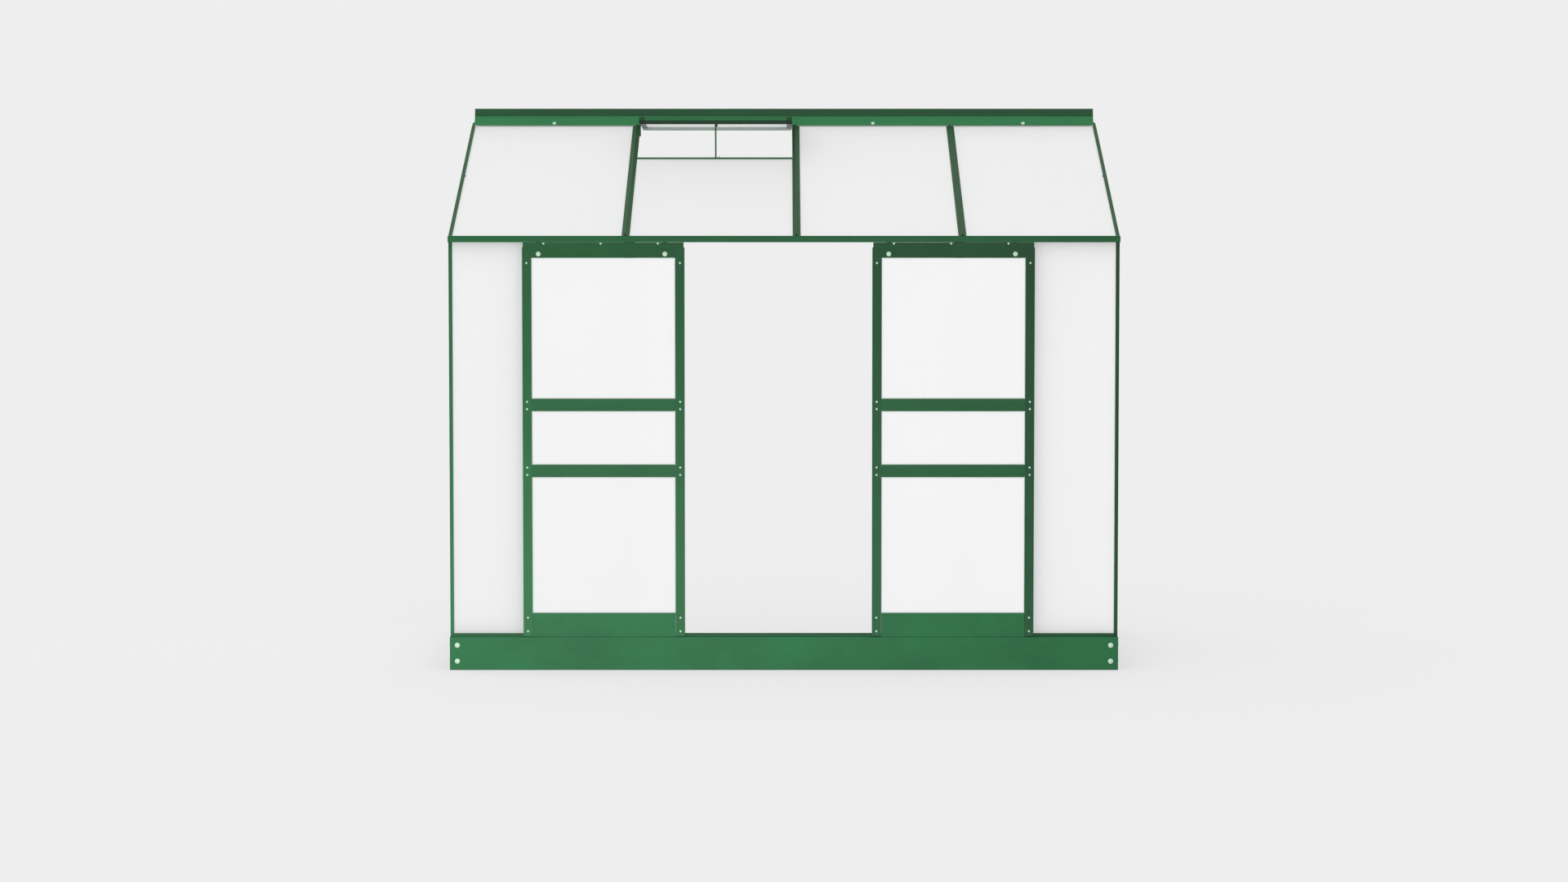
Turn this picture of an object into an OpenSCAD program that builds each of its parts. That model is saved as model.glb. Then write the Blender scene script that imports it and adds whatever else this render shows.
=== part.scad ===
// Lean-to greenhouse with two top-hung sliding doors and one roof vent.
// X runs along the wall, Y from the front to the wall, Z up from the ground.
// The origin is at ground level, in the middle of the overall footprint.

/* [Frame] */
// Overall width along the wall
width = 2550; // [2100:10:3200]
// Depth from the front glazing to the wall
frame_depth = 1274; // [1060:2:1600]
// Height of the front eaves
eaves_z = 1655; // [1400:5:2000]
// Slope of the roof in degrees
roof_pitch = 19.37; // [17:0.01:23]
// Height of the steel base
base_h = 126; // [90:1:160]
// How far the base stands out in front of the glazing
base_proud = 36; // [34:1:60]
// Thickness of the base sheet
base_t = 3; // [2:0.5:4]
// Width of the glazing bar caps
bar_w = 30; // [24:1:40]
// Height of the raised ridge on a roof bar
bar_rib = 7; // [4:0.5:10]
// Place of the left roof bar
bar_left_x = -602; // [-640:1:-590]
// Place of the middle roof bar
bar_mid_x = 48; // [40:1:60]
// Place of the right roof bar
bar_right_x = 678; // [660:1:700]
// Distance of the gable bars behind the front glazing
gable_bar_y = 640; // [560:1:700]

/* [Glazing] */
// Thickness of the frosted panes
pane_t = 4; // [3:0.5:6]
// Space left on each face of a pane
pane_gap = 0.5; // [0.3:0.1:1]

/* [Doors] */
// Width of one door
door_w = 616; // [600:1:740]
// Thickness of a door
door_t = 24; // [20:1:28]
// Space between the door backs and the front glazing
door_gap = 10; // [9:1:16]
// Width of a door stile
stile_w = 35; // [28:1:45]
// Middle of the doorway
doorway_x = 40; // [20:1:60]
// Clear width between the door jambs
doorway_w = 1212; // [1190:1:1214]
// How far the left door stands open
left_open = 417; // [0:1:500]
// How far the right door stands open
right_open = 294.8; // [0:0.1:400]
// Height of the upper cross rail
upper_rail_z = 990; // [900:1:1060]
// Height of the lower cross rail
lower_rail_z = 738.5; // [600:0.5:800]
// Height of a cross rail
cross_h = 47; // [40:1:60]
// Height of the kick panel's top edge
kick_top_z = 218.5; // [200:0.5:260]
// Radius of a door wheel
wheel_r = 8; // [7:0.5:9]

/* [Roof vent] */
// Length of the vent from its hinge to its front edge
vent_len = 402; // [330:1:480]
// Angle by which the vent stands open
vent_open = 19.8; // [0:0.1:28]
// Length of the vent stay
stay_len = 215; // [180:1:250]

/* [Hidden] */
$fn = 32;

green = [0.23, 0.45, 0.30];
dark_green = [0.18, 0.36, 0.24];
opal = [0.94, 0.95, 0.94, 0.6];
zinc = [0.80, 0.86, 0.80];
nylon = [0.12, 0.12, 0.13];

half = width / 2;
eps = 0.3;
base_bolt_h = 4;
base_bolt_r = 9.7;
front_y = (base_proud + base_bolt_h - frame_depth) / 2;

// glazing channels
lip = 3;
core = 10;
cap_over = 4;
seat = lip + pane_t + 2 * pane_gap;
flange_t = 2;
inner_w = 40;
sill_h = 11;
sill_base = 5;
sill_z = base_h + sill_h;
sill_w = 34;
sill_end = core + cap_over + 0.5;

// base
base_flange = 40;
base_shelf = 30;
bracket_leg = 44;
bracket_t = 3;
base_bolt_x = half - 28.6;
base_bolt_z = [34, 95];
anchor_r = 5;
anchor_x = half - 160;
anchor_front_y = -base_proud + 25;
anchor_back_y = frame_depth - 120;

// eaves and track
track_h = 24;
track_wall = 2.5;
track_z = eaves_z - track_h;
track_front = -base_proud;
track_back = -4;
slot_w = 9;
door_front = -door_gap - door_t;
door_back = -door_gap;
hanger_y = door_front + door_t / 2;

// roof
tp = tan(roof_pitch);
cp = cos(roof_pitch);
plate_t = 3;
plate_half = half - 10;
plate_lip_y = frame_depth - 66;
plate_fold_y = frame_depth - 34;
plate_top_y = frame_depth - 28;
plate_lip_z = eaves_z + plate_lip_y * tp + 2;
plate_fold_z = plate_lip_z + 37;
plate_top_z = plate_fold_z + 31;
plate_foot_z = plate_lip_z - 45;
cap_len = (plate_lip_y - 2) / cp;
web_len = (frame_depth - plate_t - 14) / cp;
pane_top = (plate_fold_y - 6) / cp;
pane_foot = 9;
verge_lip = 14;
verge_skirt = 24;

// vent, in lengths along the roof slope
hinge_y = plate_lip_y - 3;
hinge_v = -12;
vent_rest_v = 1;
closed_tilt = asin((vent_rest_v - hinge_v) / vent_len);
hinge_s = hinge_y / cp;
vent_sill_s = hinge_s - vent_len + 14;
vent_side_gap = 1.5;
sash_w = 21;
sash_h = 26;
sash_z = 3;
sash_nose = 15;
sash_groove = sash_z + 3;
vent_x0 = bar_left_x + bar_w / 2 + 9;
vent_x1 = bar_mid_x - bar_w / 2 - 1;
vent_mid_x = (vent_x0 + vent_x1) / 2;
hinge_y_abs = hinge_y - hinge_v * sin(roof_pitch);
hinge_z_abs = eaves_z + hinge_y * tp + hinge_v * cp;
stay_t = 6;
stay_w = 14;
stay_hole_r = 3.4;
stay_gap = 0.6;
stay_holes = 5;
peg_r = 3;
peg_s = 20;
peg_v = -17;
pivot_in = 40;
pivot_drop = 4;
pivot_r = 3;
// the sash stands at sash_angle above the level
sash_angle = vent_open - roof_pitch + closed_tilt;
pivot_y = -(vent_len - pivot_in) * cos(sash_angle) - pivot_drop * sin(sash_angle);
pivot_z = (vent_len - pivot_in) * sin(sash_angle) - pivot_drop * cos(sash_angle);
peg_y = (vent_sill_s + peg_s) * cp - peg_v * sin(roof_pitch) - hinge_y_abs;
peg_z = eaves_z + (vent_sill_s + peg_s) * sin(roof_pitch) + peg_v * cp - hinge_z_abs;
stay_reach = norm([peg_y - pivot_y, peg_z - pivot_z]);
stay_lean = atan2(peg_y - pivot_y, pivot_z - peg_z);
stay_pitch = stay_reach / stay_holes;

// doors
left_x = doorway_x - 0.5 - door_w - left_open;
right_x = doorway_x + 0.5 + right_open;
door_z = base_h + 3;
kick_z = base_h + 1;
head_z = track_z - 0.6;
rail_top_z = track_z - 20;
top_rail_z = track_z - 58.5;
tube_t = 1.6;
stile_lip = 5;
head_screw_z = track_z - 4.8;
hanger_bolt_z = track_z - 44.4;
stile_screw_z = track_z - 78.5;
hanger_dx = 240;
hanger_shift = -6;
head_screw_dx = 217;
head_screw_shift = -9.5;
screw_r = 4;
screw_h = 2.2;
shank_r = 2;
hole_gap = 0.1;
hanger_bolt_r = 9;
hanger_bolt_h = 4;
hanger_shank = 4;
axle_r = 3;
wheel_clear = 0.05;
wheel_w = 6.4;
wheel_y = track_front + track_wall + 1.5 + wheel_w / 2;
wheel_z = track_z + track_wall + wheel_r + eps;
guide_y = -20;
guide_t = 2.5;
guide_clear = 1;

module place() { translate([0, front_y, 0]) children(); }

// a section drawn in X and Y, extruded up from z0 to z1
module upright(z0, z1) { translate([0, 0, z0]) linear_extrude(z1 - z0) children(); }

// a section drawn in Y and Z, extruded along X from x0 to x1
module along_x(x0, x1) {
  translate([x0, 0, 0]) rotate([90, 0, 90]) linear_extrude(x1 - x0) children();
}

// a section drawn in X and Z, extruded along Y from y0 to y1
module along_y(y0, y1) {
  translate([0, y1, 0]) rotate([90, 0, 0]) linear_extrude(y1 - y0) children();
}

// roof space: x across, y up the slope from the eaves edge, z square to the roof
module on_roof() { translate([0, 0, eaves_z]) rotate([roof_pitch, 0, 0]) children(); }

// a section drawn in X and Z of roof space, extruded up the slope from s0 to s1
module up_slope(s0, s1) { along_y(s0, s1) children(); }

module rect(x0, y0, x1, y1) { translate([x0, y0]) square([x1 - x0, y1 - y0]); }

module mirrored(right) { if (right) mirror([1, 0, 0]) children(); else children(); }

// ---- steel base ----
module base_front() color(green) place() difference() {
  union() {
    along_x(-half, half) rect(-base_proud, 0, -base_proud + base_t, base_h);
    along_x(-half + base_t + eps, half - base_t - eps) rect(-base_proud + base_t, base_h - base_t,
      base_shelf, base_h);
    along_x(-half + base_t + eps, half - base_t - eps) rect(-base_proud + base_t, 0,
      -base_proud + base_flange, base_t);
  }
  for (sx = [-1, 1]) {
    for (z = base_bolt_z)
      translate([sx * base_bolt_x, -base_proud - 1, z]) rotate([-90, 0, 0]) cylinder(r = 4.1, h = base_t + 2);
    translate([sx * anchor_x, anchor_front_y, -1]) cylinder(r = anchor_r, h = base_t + 2);
  }
}

module base_side(right) color(green) place() mirrored(right) difference() {
  union() {
    translate([-half, -base_proud + base_t, 0])
      cube([base_t, frame_depth + base_proud - base_t, base_h]);
    translate([-half + base_t, base_shelf + eps, base_h - base_t])
      cube([base_flange - base_t, frame_depth - base_shelf - eps, base_t]);
    translate([-half + base_t, base_shelf + eps, 0])
      cube([base_flange - base_t, frame_depth - base_shelf - eps, base_t]);
  }
  for (z = base_bolt_z)
    translate([-half - 1, -base_proud + 28.6, z]) rotate([0, 90, 0]) cylinder(r = 4.1, h = base_t + 2);
  translate([-half + 25, anchor_back_y, -1]) cylinder(r = anchor_r, h = base_t + 2);
}
module base_left() base_side(false);
module base_right() base_side(true);

module base_brackets() color(dark_green) place() for (right = [false, true]) mirrored(right)
  difference() {
    upright(base_t + 6, base_h - base_t - 6) difference() {
      rect(-half + base_t, -base_proud + base_t, -half + base_t + bracket_leg,
        -base_proud + base_t + bracket_leg);
      rect(-half + base_t + bracket_t, -base_proud + base_t + bracket_t, -half + 2 * bracket_leg,
        -base_proud + 2 * bracket_leg);
    }
    for (z = base_bolt_z) {
      translate([-base_bolt_x, -base_proud - 1, z]) rotate([-90, 0, 0]) cylinder(r = 4.1, h = 12);
      translate([-half - 1, -base_proud + 28.6, z]) rotate([0, 90, 0]) cylinder(r = 4.1, h = 12);
    }
  }

// round-headed bolt along +Z with its head below z = 0
module bolt(r, h, shank, length) {
  translate([0, 0, -h]) cylinder(r1 = r * 0.72, r2 = r, h = h);
  cylinder(r = shank, h = length);
}

module nut(r, h, bore) difference() {
  cylinder(r = r, h = h, $fn = 6);
  translate([0, 0, -1]) cylinder(r = bore, h = h + 2);
}

module base_bolt_set() {
  bolt(base_bolt_r, base_bolt_h, 4, 16);
  translate([0, 0, base_t + bracket_t]) nut(7.5, 6, 4);
}

module base_bolts() color(zinc) place() for (right = [false, true]) mirrored(right)
  for (z = base_bolt_z) {
    translate([-base_bolt_x, -base_proud, z]) rotate([-90, 0, 0]) base_bolt_set();
    translate([-half, -base_proud + 28.6, z]) rotate([0, 90, 0]) base_bolt_set();
  }

// ---- sills ----
module sill_front() color(green) place() along_x(-half + sill_end, half - sill_end) {
  rect(lip, base_h, sill_w, base_h + sill_base);
  rect(0, base_h + sill_base, lip, sill_z);
  rect(lip - 0.5, base_h, lip, base_h + sill_base);
  rect(0, base_h + sill_base - 1, lip, base_h + sill_base);
  rect(seat, base_h + sill_base, seat + flange_t, sill_z);
  rect(guide_y - guide_t / 2, base_h, lip, base_h + 2);
  rect(guide_y - guide_t / 2, base_h, guide_y + guide_t / 2, sill_z - 1);
}

module sill_side(right) color(green) place() mirrored(right) {
  along_y(sill_end, frame_depth - sill_end) translate([-half, 0]) {
    rect(0, base_h, seat + flange_t, base_h + sill_base);
    rect(0, base_h + sill_base, lip, sill_z);
    rect(seat, base_h + sill_base, seat + flange_t, sill_z);
  }
  along_y(sill_w + 0.5, frame_depth - sill_end) translate([-half, 0])
    rect(seat, base_h, sill_w, base_h + sill_base);
}
module sill_left() sill_side(false);
module sill_right() sill_side(true);

// ---- posts ----
module corner_post(right) color(green) place() mirrored(right) {
  upright(base_h, track_z + 2) translate([-half, 0]) {
    square([core, core]);
    rect(core, 0, core + cap_over, lip);
    rect(0, core, lip, core + cap_over);
  }
  upright(sill_z + 0.5, track_z + 2) translate([-half, 0]) {
    rect(core - 1, seat, inner_w, seat + flange_t);
    rect(seat, core - 1, seat + flange_t, inner_w);
  }
}
module corner_post_left() corner_post(false);
module corner_post_right() corner_post(true);

wall_hole_z = [300, 1500];
post_top_z = eaves_z + (frame_depth - inner_w) * tp - (seat + flange_t + verge_skirt) / cp - 1;
module wall_post(right) color(green) place() mirrored(right) difference() {
  translate([-half, frame_depth, 0]) {
    upright(base_h, post_top_z) {
      rect(0, -core, core, 0);
      rect(0, -core - cap_over, lip, -core);
    }
    upright(sill_z + 0.5, post_top_z) rect(seat, -inner_w, seat + flange_t, -core + 1);
    upright(base_h, plate_foot_z - 1) rect(core - 1, -lip, 44, 0);
  }
  for (z = wall_hole_z)
    translate([-half + 28, frame_depth - lip - 1, z]) rotate([-90, 0, 0]) cylinder(r = 4, h = lip + 2);
}
module wall_post_left() wall_post(false);
module wall_post_right() wall_post(true);

jamb_w = 40;
module door_jamb(x, flip) color(green) place()
  upright(sill_z + 0.5, track_z + 2) translate([x, 0]) mirror([flip, 0]) {
    rect(0, 0, jamb_w, lip);
    rect(cap_over, 0, cap_over + 4, core);
    rect(-14, seat, cap_over + 4, seat + flange_t);
    rect(jamb_w - lip, 0, jamb_w, 28);
  }
module door_jamb_left() door_jamb(doorway_x - doorway_w / 2 - jamb_w, 0);
module door_jamb_right() door_jamb(doorway_x + doorway_w / 2 + jamb_w, 1);

gable_bar_top = eaves_z + (gable_bar_y - bar_w / 2) * tp - (seat + flange_t + verge_skirt) / cp;
module gable_bar(right) color(green) place() mirrored(right)
  upright(sill_z + 0.5, gable_bar_top) translate([-half, gable_bar_y]) {
    rect(0, -bar_w / 2, lip, bar_w / 2);
    rect(0, -2, core + 18, 2);
    rect(seat, -bar_w / 2, seat + flange_t, bar_w / 2);
  }
module gable_bar_left() gable_bar(false);
module gable_bar_right() gable_bar(true);

// ---- eaves and door track ----
bridge_z = track_z + 14;
module eaves_rail() color(green) place() along_x(-half + core + 1, half - core - 1) {
  rect(0, track_z + 3, lip, eaves_z - lip - 0.5);
  rect(0, bridge_z, 33, bridge_z + 3);
  rect(seat, track_z + 3, seat + flange_t, bridge_z);
  rect(30, bridge_z, 33, eaves_z - 1);
  rect(30, bridge_z - 8, 33, bridge_z);
}

track_stop_l = 14;
module door_track() color(green) place() along_x(-half, half) difference() {
  union() {
    rect(track_front, track_z, track_back, eaves_z - 4);
    rect(track_front + 1.5, eaves_z - 4, track_back, eaves_z);
    rect(track_back, track_z + 12, 0, track_z + 16);
  }
  rect(track_front + track_wall, track_z + track_wall, track_back - track_wall, eaves_z - 4);
  rect(track_front + track_wall + 1.5, eaves_z - 4.5, track_back - track_wall, eaves_z - track_wall);
  rect(hanger_y - slot_w / 2, track_z - 1, hanger_y + slot_w / 2, track_z + track_wall + 1);
}

module track_stops() color(nylon) place() for (right = [false, true]) mirrored(right)
  translate([-half, track_front + track_wall + 0.2, track_z + track_wall])
    cube([track_stop_l, track_back - track_front - 2 * track_wall - 0.4, 14]);

// ---- roof ----
plate_bolt_x = [(-half + bar_left_x) / 2, (bar_mid_x + bar_right_x) / 2, (bar_right_x + half) / 2];
plate_hole_x = [-1100, -780, 780, 1100];
face_dy = plate_fold_y - plate_lip_y;
face_dz = plate_fold_z - plate_lip_z;
face_angle = atan2(face_dz, face_dy);
// the hood, with the cradle that the vent's hinge bead turns in
module wall_plate_body() {
  along_x(-plate_half, plate_half) polygon([
    [frame_depth, plate_foot_z],
    [frame_depth, plate_top_z],
    [plate_top_y, plate_top_z],
    [plate_fold_y, plate_fold_z],
    [plate_lip_y, plate_lip_z],
    [plate_lip_y + 4, plate_lip_z],
    [plate_fold_y + 2.8, plate_fold_z - 1.8],
    [plate_top_y + 2.6, plate_top_z - plate_t],
    [frame_depth - plate_t, plate_top_z - plate_t],
    [frame_depth - plate_t, plate_foot_z]]);
  along_x(vent_x0 + 2, vent_x1 - 2) translate([hinge_y_abs, hinge_z_abs]) {
    rect(3.2, -2.6, 5.5, plate_lip_z - hinge_z_abs + 3);
    rect(-3, -6, 5.5, -3.4);
  }
}

module wall_plate() color(green) place() difference() {
  wall_plate_body();
  translate([bar_left_x + bar_w / 2, frame_depth - plate_t - 1, plate_foot_z - 1])
    cube([bar_mid_x - bar_left_x - bar_w, plate_t + 2, plate_lip_z - plate_foot_z + 1]);
  for (x = plate_hole_x)
    translate([x, frame_depth - plate_t - 1, plate_foot_z + 12])
      rotate([-90, 0, 0]) cylinder(r = 4, h = plate_t + 2);
  at_plate_bolts() translate([0, 0, -6]) cylinder(r = 2.6, h = 14);
}

module at_plate_bolts() for (x = plate_bolt_x)
  translate([x, plate_lip_y + 7, plate_lip_z + 7 * face_dz / face_dy])
    rotate([face_angle, 0, 0]) children();

module verge(right) color(green) place() mirrored(right) on_roof() translate([-half, 0, 0]) {
  up_slope(0, cap_len) rect(0, -seat - flange_t, core, 0);
  up_slope(0, cap_len) rect(core, -lip, verge_lip, 0);
  up_slope(cap_len - 1, web_len) rect(0, -seat - flange_t, core, -lip - 1);
  up_slope(48, web_len) rect(core - 1, -seat - flange_t, 30, -seat);
  up_slope(40, web_len - 8) rect(0, -seat - flange_t - verge_skirt, lip, -seat - flange_t + 1);
  up_slope(48, web_len - 8) rect(seat, -seat - flange_t - verge_skirt, seat + flange_t, -seat);
}
module verge_left() verge(false);
module verge_right() verge(true);

module roof_bar(x) color(green) place() on_roof() translate([x, 0, 0]) {
  up_slope(0, cap_len) polygon([[-bar_w / 2, -lip], [-bar_w / 2, -1], [-4, 1.5], [-2.5, bar_rib],
    [2.5, bar_rib], [4, 1.5], [bar_w / 2, -1], [bar_w / 2, -lip]]);
  up_slope(14, web_len) rect(-2, -seat - flange_t, 2, -lip + 0.5);
  up_slope(14, web_len) rect(-bar_w / 2, -seat - flange_t, bar_w / 2, -seat);
  up_slope(48, web_len) rect(-2, -30, 2, -seat);
  up_slope(48, web_len) rect(-5, -33, 5, -29);
}
module roof_bar_1() roof_bar(bar_left_x);
module roof_bar_2() roof_bar(bar_mid_x);
module roof_bar_3() roof_bar(bar_right_x);

module roof_pane(x0, x1, s1) color(opal) place() on_roof()
  translate([x0, pane_foot, -lip - pane_gap - pane_t]) cube([x1 - x0, s1 - pane_foot, pane_t]);
edge = core + pane_gap;
web_gap = 2 + pane_gap;
module roof_pane_1() roof_pane(-half + edge, bar_left_x - web_gap, pane_top);
module roof_pane_2() roof_pane(bar_left_x + web_gap, bar_mid_x - web_gap, vent_sill_s - 2);
module roof_pane_3() roof_pane(bar_mid_x + web_gap, bar_right_x - web_gap, pane_top);
module roof_pane_4() roof_pane(bar_right_x + web_gap, half - edge, pane_top);

// cross bar at the foot of the vent, with the bracket and peg for the stay
module vent_sill() color(green) place() on_roof() {
  translate([0, vent_sill_s, 0]) {
    along_x(bar_left_x + 2.5, bar_mid_x - 2.5) rect(0, -seat + 0.3, 6, -lip - 0.2);
    along_x(bar_left_x + bar_w / 2 + 0.5, bar_mid_x - bar_w / 2 - 0.5) rect(-9, -lip - 0.3, 6, -0.5);
  }
  translate([vent_mid_x + stay_t / 2 + 8, vent_sill_s + 4, peg_v - 7]) cube([3, 24, -peg_v + 7 - lip - 0.5]);
  translate([vent_mid_x + stay_t / 2 + stay_gap, vent_sill_s + peg_s, peg_v])
    rotate([0, 90, 0]) cylinder(r = peg_r, h = 8);
}

// ---- small frame pieces ----
gusset_leg = 70;
gusset_x = half - 34.5;
gusset_z = track_z - 26;
module corner_gussets() color(dark_green) place() for (right = [false, true]) mirrored(right)
  difference() {
    along_y(seat + flange_t, seat + flange_t + 2.5)
      polygon([[-half + core + 4, track_z - gusset_leg], [-half + core + 4, bridge_z - 9],
        [-half + core + gusset_leg, bridge_z - 9], [-half + core + gusset_leg, track_z - 4]]);
    translate([-gusset_x, seat, gusset_z]) rotate([-90, 0, 0]) cylinder(r = 3.1, h = 20);
  }

module frame_bolts() color(zinc) place() {
  at_plate_bolts() {
    cylinder(r1 = 7.5, r2 = 5, h = 4);
    translate([0, 0, -6]) cylinder(r = 2.5, h = 6.5);
  }
  for (right = [false, true]) mirrored(right) {
    translate([-gusset_x, seat + flange_t + 7, gusset_z]) rotate([90, 0, 0]) {
      cylinder(r = 6, h = 4.5);
      cylinder(r = 3, h = 6.9);
    }
  }
}

rail_end_x = 1134;
inner_rail_z = 739;
module inner_rail() color(green) place() difference() {
  union() {
    translate([doorway_x + doorway_w / 2 + jamb_w - 4, seat + flange_t, inner_rail_z])
      cube([rail_end_x - 7 - (doorway_x + doorway_w / 2 + jamb_w - 4), 3, 14]);
    translate([rail_end_x - 7, seat + flange_t, inner_rail_z + 7]) rotate([-90, 0, 0]) cylinder(r = 7, h = 3);
  }
  translate([rail_end_x - 7, 0, inner_rail_z + 7]) rotate([-90, 0, 0]) cylinder(r = 3, h = 40);
}

// ---- wall panes ----
front_pane_top = bridge_z - 2;
module front_pane(x0, x1) color(opal) place()
  translate([x0, lip + pane_gap, sill_z - sill_h + sill_base + 1])
    cube([x1 - x0, pane_t, front_pane_top - (sill_z - sill_h + sill_base + 1)]);
module front_pane_left() front_pane(-half + edge, doorway_x - doorway_w / 2 - jamb_w + cap_over - pane_gap);
module front_pane_right() front_pane(doorway_x + doorway_w / 2 + jamb_w - cap_over + pane_gap, half - edge);

module gable_pane(y0, y1) {
  z0 = sill_z - sill_h + sill_base + 1;
  drop = (seat + flange_t + 4) / cp;
  along_x(-half + lip + pane_gap, -half + lip + pane_gap + pane_t)
    polygon([[y0, z0], [y1, z0], [y1, eaves_z + y1 * tp - drop], [max(y0, 42), eaves_z + max(y0, 42) * tp - drop],
      [max(y0, 42), front_pane_top - 15], [y0, front_pane_top - 15]]);
}
module gable_panes() color(opal) place() for (right = [false, true]) mirrored(right) {
  gable_pane(edge, gable_bar_y - web_gap);
  gable_pane(gable_bar_y + web_gap, frame_depth - edge);
}

// ---- doors: each drawn from its own left edge at x = 0 ----
module stile_section() {
  difference() {
    rect(0, door_front, stile_w - stile_lip, door_back);
    rect(tube_t, door_front + tube_t, stile_w - stile_lip - tube_t, door_back - tube_t);
  }
  rect(stile_w - stile_lip - 0.5, door_front, stile_w, door_front + tube_t);
  rect(stile_w - stile_lip - 0.5, door_front + 2 * tube_t + pane_t, stile_w,
    door_front + 3 * tube_t + pane_t);
}

function cross_screws() = [upper_rail_z + 7.3, upper_rail_z + 35.3, lower_rail_z + 8.2, lower_rail_z + 36.3];
function stile_screws() = concat([stile_screw_z], cross_screws(), [door_z + 19.3, door_z + 71.3]);
stile_screw_x = 17;

module at_stile_screws() for (x = [stile_screw_x, door_w - stile_screw_x]) for (z = stile_screws())
  translate([x, door_front, z]) rotate([-90, 0, 0]) children();
module at_head_screws() for (i = [-1:1])
  translate([door_w / 2 + head_screw_shift + i * head_screw_dx, door_front, head_screw_z])
    rotate([-90, 0, 0]) children();
module at_hangers() for (s = [-1, 1])
  translate([door_w / 2 + hanger_shift + s * hanger_dx, 0, 0]) children();

module door_stiles() color(green) difference() {
  for (side = [0, 1]) translate([side * door_w, 0, 0]) mirror([side, 0, 0])
    upright(door_z, rail_top_z) stile_section();
  at_stile_screws() translate([0, 0, -1]) cylinder(r = shank_r + hole_gap, h = tube_t + 2);
  translate([-1, guide_y - guide_t / 2 - guide_clear, door_z - 1])
    cube([door_w + 2, guide_t + 2 * guide_clear, sill_h]);
}

rail_x = stile_w + eps;
module door_top_rail() color(green) difference() {
  union() {
    along_x(rail_x, door_w - rail_x) {
      rect(door_front, top_rail_z, door_front + 2.5, rail_top_z);
      rect(door_front, top_rail_z, door_back, top_rail_z + 2.5);
      rect(door_back - 2.5, top_rail_z, door_back, rail_top_z);
    }
    along_x(3, door_w - 3) rect(door_front, rail_top_z + eps, door_front + 2.5, head_z);
    along_x(rail_x, door_w - rail_x) rect(door_front, rail_top_z - 1, door_front + 2.5, rail_top_z + 1);
  }
  at_head_screws() translate([0, 0, -1]) cylinder(r = shank_r + hole_gap, h = 5);
  at_hangers() translate([0, door_front - 1, hanger_bolt_z])
    rotate([-90, 0, 0]) cylinder(r = hanger_shank + hole_gap, h = 5);
}

module door_cross_rail(z) along_x(rail_x, door_w - rail_x) {
  difference() {
    rect(door_front, z, door_front + 12, z + cross_h);
    rect(door_front + tube_t, z + 8, door_front + 12 - tube_t, z + cross_h - 8);
    rect(door_front + tube_t, z - 1, door_front + 2 * tube_t + pane_t, z + 5);
    rect(door_front + tube_t, z + cross_h - 5, door_front + 2 * tube_t + pane_t, z + cross_h + 1);
  }
}
module door_cross_rails() color(green) { door_cross_rail(upper_rail_z); door_cross_rail(lower_rail_z); }

module door_kick_panel() color(green) along_x(rail_x, door_w - rail_x) {
  rect(door_front, kick_z, door_front + tube_t, kick_top_z);
  rect(door_front, kick_z, guide_y - guide_t / 2 - guide_clear, kick_z + 2);
  rect(door_front + 10, kick_top_z - 8, door_front + 12, kick_top_z - 4);
  rect(door_front, kick_top_z - 8, door_front + 12, kick_top_z - 6);
  rect(door_front + 2 * tube_t + pane_t, kick_top_z - 8, door_front + 3 * tube_t + pane_t, kick_top_z);
}

pane_y = door_front + tube_t + tube_t / 2;
module door_pane(z0, z1) translate([stile_w - stile_lip + 0.5, pane_y, z0])
  cube([door_w - 2 * (stile_w - stile_lip + 0.5), pane_t, z1 - z0]);
module door_panes() color(opal) {
  door_pane(kick_top_z - 5, lower_rail_z + 4);
  door_pane(lower_rail_z + cross_h - 4, upper_rail_z + 4);
  door_pane(upper_rail_z + cross_h - 4, top_rail_z - 0.5);
}

module screw() {
  translate([0, 0, -screw_h]) cylinder(r1 = screw_r * 0.7, r2 = screw_r, h = screw_h);
  cylinder(r = shank_r, h = 1.5);
}
module door_screws() color(zinc) {
  at_stile_screws() screw();
  at_head_screws() screw();
  at_hangers() translate([0, door_front, hanger_bolt_z]) rotate([-90, 0, 0]) {
    bolt(hanger_bolt_r, hanger_bolt_h, hanger_shank, 19);
    translate([0, 0, hanger_y - door_front + 1.5]) nut(6.6, 4, hanger_shank);
  }
}

module door_hangers() color(zinc) at_hangers() difference() {
  union() {
    translate([-14, hanger_y - 1.5, hanger_bolt_z - 8]) cube([28, 3, 30]);
    translate([-9, hanger_y - 1.5, hanger_bolt_z]) cube([18, 3, wheel_z + 6 - hanger_bolt_z]);
    translate([0, door_front + 2.5, hanger_bolt_z]) rotate([-90, 0, 0])
      cylinder(r = 8, h = hanger_y - door_front - 3);
    translate([0, wheel_y - wheel_w / 2 - 1, wheel_z]) rotate([-90, 0, 0])
      cylinder(r = axle_r, h = hanger_y - wheel_y + wheel_w / 2 + 1);
    translate([0, wheel_y + wheel_w / 2 + 0.3, wheel_z]) rotate([-90, 0, 0])
      cylinder(r = 5, h = hanger_y - wheel_y - wheel_w / 2 - 1);
    translate([0, wheel_y - wheel_w / 2 - 1.2, wheel_z]) rotate([-90, 0, 0]) cylinder(r = 5, h = 0.9);
  }
  translate([0, door_front, hanger_bolt_z]) rotate([-90, 0, 0])
    cylinder(r = hanger_shank + hole_gap, h = door_t);
}

module door_wheel(shift) color(nylon)
  translate([door_w / 2 + hanger_shift + shift * hanger_dx, wheel_y - wheel_w / 2, wheel_z])
    rotate([-90, 0, 0]) difference() {
      cylinder(r = wheel_r, h = wheel_w, $fn = 48);
      translate([0, 0, -1]) cylinder(r = axle_r + wheel_clear, h = wheel_w + 2);
    }

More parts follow.
